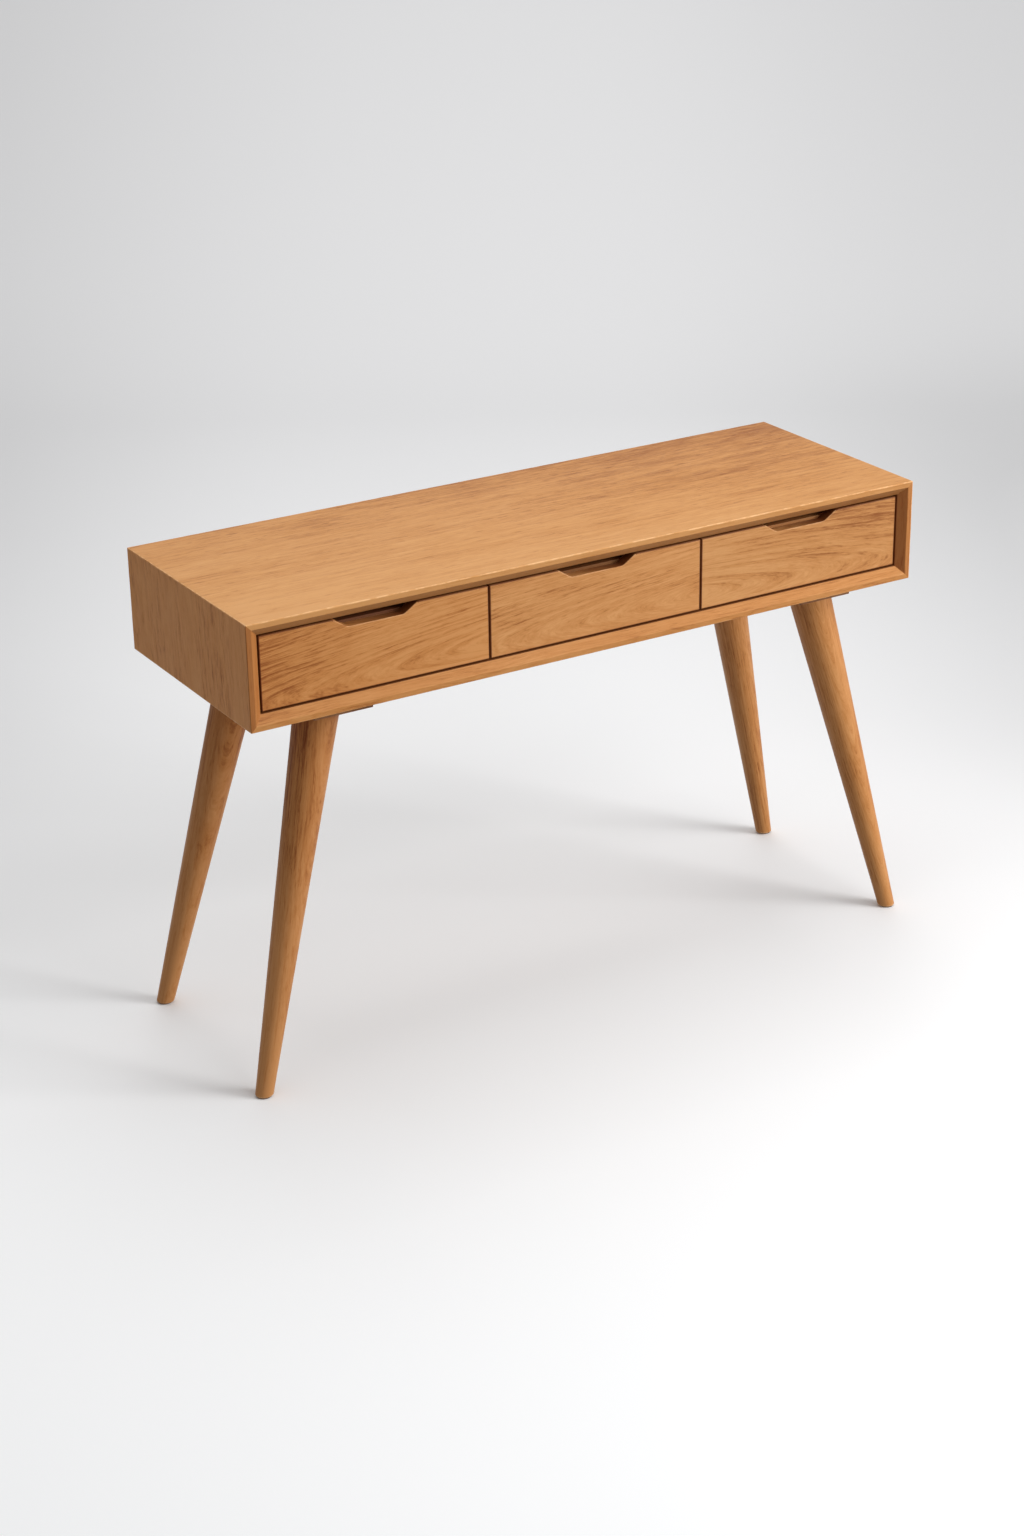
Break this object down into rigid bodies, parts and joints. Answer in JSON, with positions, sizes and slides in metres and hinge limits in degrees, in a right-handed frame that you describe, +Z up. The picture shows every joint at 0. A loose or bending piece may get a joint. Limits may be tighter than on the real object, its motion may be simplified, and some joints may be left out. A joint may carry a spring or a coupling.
{
  "type": "writing desk",
  "caption": "Low-sided wooden writing desk on four splayed, tapered round legs, with a row of inset drawers that slide out and have finger notches in their top edges.",
  "frame": {"origin": "on the floor, under the middle of the case", "axes": "+X along the desk to the right of someone facing its drawers, +Y towards its back, +Z up; the drawers open towards -Y"},
  "size_m": [1.2318, 0.408, 0.774],
  "materials": {
    "case_wood": "satin lacquer",
    "front_wood": "satin lacquer",
    "leg_wood": "satin lacquer",
    "block_wood": "matt stain",
    "box_wood": "clear matt",
    "plywood": "clear matt",
    "runner_steel": "zinc plated",
    "screw_steel": "zinc plated",
    "insert_brass": "turned",
    "glide_plastic": "moulded"
  },
  "bodies": {
    "desk": {"top_panel": "case_wood", "bottom_panel": "case_wood", "left_side_panel": "case_wood", "right_side_panel": "case_wood", "back_panel": "plywood", "left_divider": "box_wood", "right_divider": "box_wood", "corner_splines": "box_wood", "divider_dowels": "box_wood", "back_panel_screws": "screw_steel", "front_left_leg": "leg_wood", "front_right_leg": "leg_wood", "back_left_leg": "leg_wood", "back_right_leg": "leg_wood", "front_left_leg_block": "block_wood", "front_right_leg_block": "block_wood", "back_left_leg_block": "block_wood", "back_right_leg_block": "block_wood", "leg_block_screws": "screw_steel", "leg_bolts": "screw_steel", "leg_bolt_inserts": "insert_brass", "foot_glides": "glide_plastic", "left_drawer_left_case_runner": "runner_steel", "left_drawer_right_case_runner": "runner_steel", "middle_drawer_left_case_runner": "runner_steel", "middle_drawer_right_case_runner": "runner_steel", "right_drawer_left_case_runner": "runner_steel", "right_drawer_right_case_runner": "runner_steel", "case_runner_screws": "screw_steel"},
    "left_drawer": {"left_drawer_front": "front_wood", "left_drawer_box_front": "box_wood", "left_drawer_left_side": "box_wood", "left_drawer_right_side": "box_wood", "left_drawer_back": "box_wood", "left_drawer_bottom": "plywood", "left_drawer_front_screws": "screw_steel", "left_drawer_left_runner": "runner_steel", "left_drawer_right_runner": "runner_steel", "left_drawer_runner_screws": "screw_steel"},
    "middle_drawer": {"middle_drawer_front": "front_wood", "middle_drawer_box_front": "box_wood", "middle_drawer_left_side": "box_wood", "middle_drawer_right_side": "box_wood", "middle_drawer_back": "box_wood", "middle_drawer_bottom": "plywood", "middle_drawer_front_screws": "screw_steel", "middle_drawer_left_runner": "runner_steel", "middle_drawer_right_runner": "runner_steel", "middle_drawer_runner_screws": "screw_steel"},
    "right_drawer": {"right_drawer_front": "front_wood", "right_drawer_box_front": "box_wood", "right_drawer_left_side": "box_wood", "right_drawer_right_side": "box_wood", "right_drawer_back": "box_wood", "right_drawer_bottom": "plywood", "right_drawer_front_screws": "screw_steel", "right_drawer_left_runner": "runner_steel", "right_drawer_right_runner": "runner_steel", "right_drawer_runner_screws": "screw_steel"}
  },
  "joints": [
    {"name": "left_drawer_slide", "type": "slide", "parent": "desk", "child": "left_drawer", "axis": [0, -1, 0], "range_m": [0, 0.25]},
    {"name": "middle_drawer_slide", "type": "slide", "parent": "desk", "child": "middle_drawer", "axis": [0, -1, 0], "range_m": [0, 0.25]},
    {"name": "right_drawer_slide", "type": "slide", "parent": "desk", "child": "right_drawer", "axis": [0, -1, 0], "range_m": [0, 0.25]}
  ]
}
